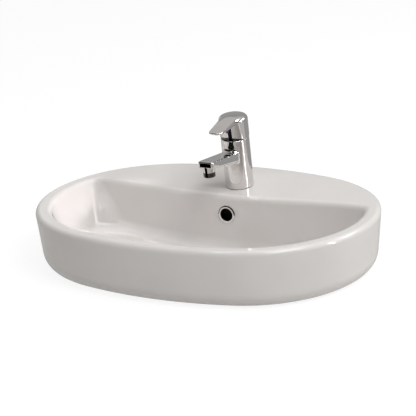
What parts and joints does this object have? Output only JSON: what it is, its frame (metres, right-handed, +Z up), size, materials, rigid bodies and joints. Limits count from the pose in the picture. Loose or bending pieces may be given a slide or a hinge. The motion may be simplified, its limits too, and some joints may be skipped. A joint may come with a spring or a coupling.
{
  "type": "countertop washbasin with mixer tap",
  "caption": "Oval ceramic countertop washbasin with a D-shaped bowl, a sloping tap deck, an overflow, a push-button waste and a chrome single-lever mixer tap.",
  "frame": {"origin": "on the waste's axis, in the plane of the countertop that the basin stands on", "axes": "+X to the user's right along the basin's length, +Y to the wall behind, +Z up"},
  "size_m": [0.5998, 0.4358, 0.3077],
  "materials": {
    "glazed_ceramic": "glossy white glaze",
    "chrome": "polished chrome plating",
    "black_rubber": "matt rubber",
    "brass": "turned brass",
    "steel": "zinc-plated steel",
    "white_plastic": "moulded plastic",
    "alumina": "lapped ceramic",
    "indicator": "red and blue plastic"
  },
  "bodies": {
    "fixed": {"aerator_insert": "white_plastic", "aerator_seal": "black_rubber", "aerator_shell": "chrome", "basin": "glazed_ceramic", "cartridge_base": "white_plastic", "cartridge_housing": "white_plastic", "cartridge_seals": "black_rubber", "clamp_pad": "black_rubber", "clamp_plate": "steel", "click_unit": "white_plastic", "dome_cover": "chrome", "fixed_disc": "alumina", "fixing_nut": "brass", "fixing_stud": "steel", "overflow_ring": "chrome", "retaining_nut": "brass", "tap_base_gasket": "black_rubber", "tap_body": "chrome", "waste_backnut": "brass", "waste_body": "chrome", "waste_bottom_seal": "black_rubber", "waste_top_seal": "black_rubber"},
    "rotor": {"disc_carrier": "white_plastic", "pivot_pin": "steel"},
    "slider": {"moving_disc": "alumina"},
    "lever": {"lever_handle": "chrome", "spindle": "brass", "handle_screw": "steel", "indicator_plug": "indicator"},
    "plug": {"plug_cap": "chrome", "plug_stem": "brass", "plug_seal": "black_rubber"}
  },
  "joints": [
    {"name": "lever_turn", "type": "hinge", "parent": "fixed", "child": "rotor", "pos_m": [0, 0.16832, 0.09456], "axis": [0, -0.087, 0.9962], "range_deg": [-45, 45]},
    {"name": "lever_lift", "type": "hinge", "parent": "rotor", "child": "lever", "pos_m": [0, 0.16015, 0.18821], "axis": [-1, 0, 0], "range_deg": [0, 18]},
    {"name": "disc_slide", "type": "slide", "parent": "rotor", "child": "slider", "axis": [0, -0.9962, -0.087], "range_m": [0, 0.005]},
    {"name": "plug_rise", "type": "slide", "parent": "fixed", "child": "plug", "axis": [0, 0, 1], "range_m": [0, 0.009]}
  ],
  "couplings": [
    {"joint": "disc_slide", "follows": "lever_lift", "m_per_rad": 0.0159}
  ]
}
